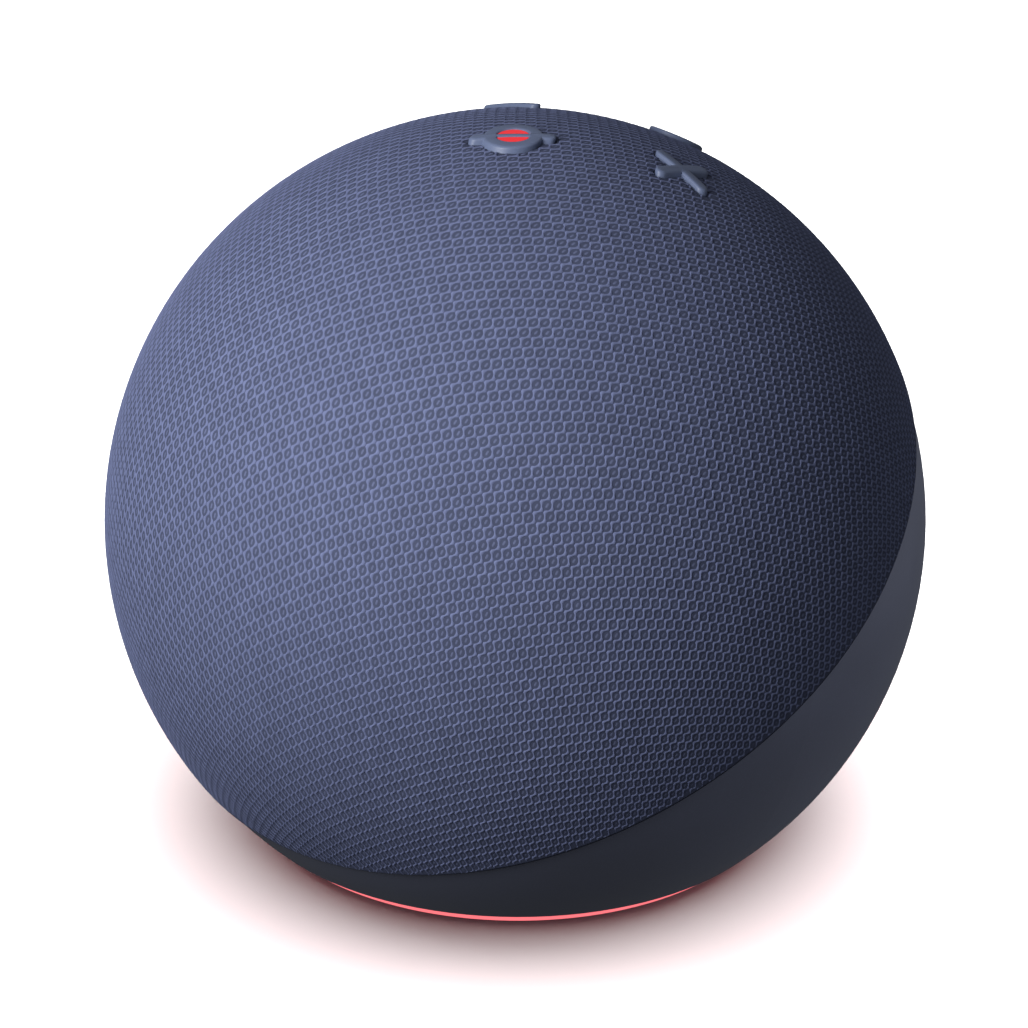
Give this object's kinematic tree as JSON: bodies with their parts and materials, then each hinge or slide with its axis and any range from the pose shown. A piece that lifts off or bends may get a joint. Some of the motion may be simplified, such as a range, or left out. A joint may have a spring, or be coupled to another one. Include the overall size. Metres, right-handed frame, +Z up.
{
  "type": "smart speaker",
  "caption": "Ball-shaped smart speaker with knit cover, moulded rear housing, light ring, sprung top buttons and a full-range driver inside.",
  "frame": {"origin": "on the table, under the middle of the ball", "axes": "+Z up, -Y the front where the knit comes lowest, +X to the right seen from the front"},
  "size_m": [0.1, 0.0996, 0.0895],
  "materials": {
    "knit": "open knit, matt",
    "shell_plastic": "moulded, matt",
    "housing_plastic": "fine spark texture, satin",
    "trim_rubber": "matt",
    "screw_steel": "zinc plated",
    "ring_glow": "frosted translucent, lit red",
    "lens_glow": "translucent, lit red",
    "circuit_board": "solder mask",
    "led_white": "clear resin",
    "flat_cable": "polyimide film",
    "chip_black": "moulded epoxy",
    "pad_blue": "soft silicone",
    "spreader_metal": "satin",
    "shield_metal": "tinned",
    "socket_plastic": "moulded",
    "contact_brass": "plated",
    "basket_metal": "black paint, satin",
    "magnet_steel": "zinc plated",
    "magnet_ferrite": "ground ferrite",
    "cone_paper": "coated paper",
    "former_film": "film",
    "coil_copper": "enamelled copper wire",
    "surround_rubber": "matt",
    "spider_cloth": "impregnated cloth",
    "lead_wire": "insulated wire",
    "button_plastic": "satin"
  },
  "bodies": {
    "speaker": {"knit_cover": "knit", "grille_shell": "shell_plastic", "chamber_body": "shell_plastic", "chamber_front": "shell_plastic", "button_carrier": "shell_plastic", "inner_frame": "shell_plastic", "rear_housing": "housing_plastic", "base_cover": "housing_plastic", "seam_ring": "trim_rubber", "rubber_foot": "trim_rubber", "chamber_gasket": "trim_rubber", "driver_gasket": "trim_rubber", "lead_seal": "trim_rubber", "mic_seals": "trim_rubber", "shell_screws": "screw_steel", "base_screws": "screw_steel", "main_board_screws": "screw_steel", "chamber_screws": "screw_steel", "driver_screws": "screw_steel", "button_board_screws": "screw_steel", "light_ring": "ring_glow", "ring_board": "circuit_board", "main_board": "circuit_board", "button_board": "circuit_board", "ring_leds": "led_white", "ring_flex": "flat_cable", "button_flex": "flat_cable", "processor": "chip_black", "board_chips": "chip_black", "power_jack_body": "chip_black", "thermal_pad": "pad_blue", "heat_spreader": "spreader_metal", "power_capacitors": "spreader_metal", "wireless_shield": "shield_metal", "switch_bodies": "shield_metal", "cable_sockets": "socket_plastic", "power_jack_pin": "contact_brass", "antennas": "contact_brass", "driver_terminals": "contact_brass", "microphones": "contact_brass", "driver_basket": "basket_metal", "driver_top_plate": "magnet_steel", "driver_yoke": "magnet_steel", "driver_magnet": "magnet_ferrite", "driver_surround": "surround_rubber", "driver_spider": "spider_cloth", "speaker_leads": "lead_wire"},
    "volume_up_button": {"volume_up_button": "button_plastic", "volume_up_stem": "chip_black"},
    "volume_down_button": {"volume_down_button": "button_plastic", "volume_down_stem": "chip_black"},
    "action_button": {"action_button": "button_plastic", "action_stem": "chip_black"},
    "mute_button": {"mute_button": "button_plastic", "mute_stem": "chip_black", "mute_lens": "lens_glow"},
    "cone": {"driver_cone": "cone_paper", "dust_cap": "cone_paper", "coil_former": "former_film", "voice_coil": "coil_copper"}
  },
  "joints": [
    {"name": "volume_up_press", "type": "slide", "parent": "speaker", "child": "volume_up_button", "axis": [0, -0.2588, -0.9659], "range_m": [0, 0.0004], "stiffness_N_per_m": 2500},
    {"name": "volume_down_press", "type": "slide", "parent": "speaker", "child": "volume_down_button", "axis": [0, -0.2588, -0.9659], "range_m": [0, 0.0004], "stiffness_N_per_m": 2500},
    {"name": "action_press", "type": "slide", "parent": "speaker", "child": "action_button", "axis": [0, -0.2588, -0.9659], "range_m": [0, 0.0004], "stiffness_N_per_m": 2500},
    {"name": "mute_press", "type": "slide", "parent": "speaker", "child": "mute_button", "axis": [0, -0.2588, -0.9659], "range_m": [0, 0.0004], "stiffness_N_per_m": 2500},
    {"name": "cone_travel", "type": "slide", "parent": "speaker", "child": "cone", "axis": [0, -1, 0], "range_m": [-0.002, 0.002], "stiffness_N_per_m": 900, "deforming": ["driver_surround", "driver_spider"]}
  ]
}
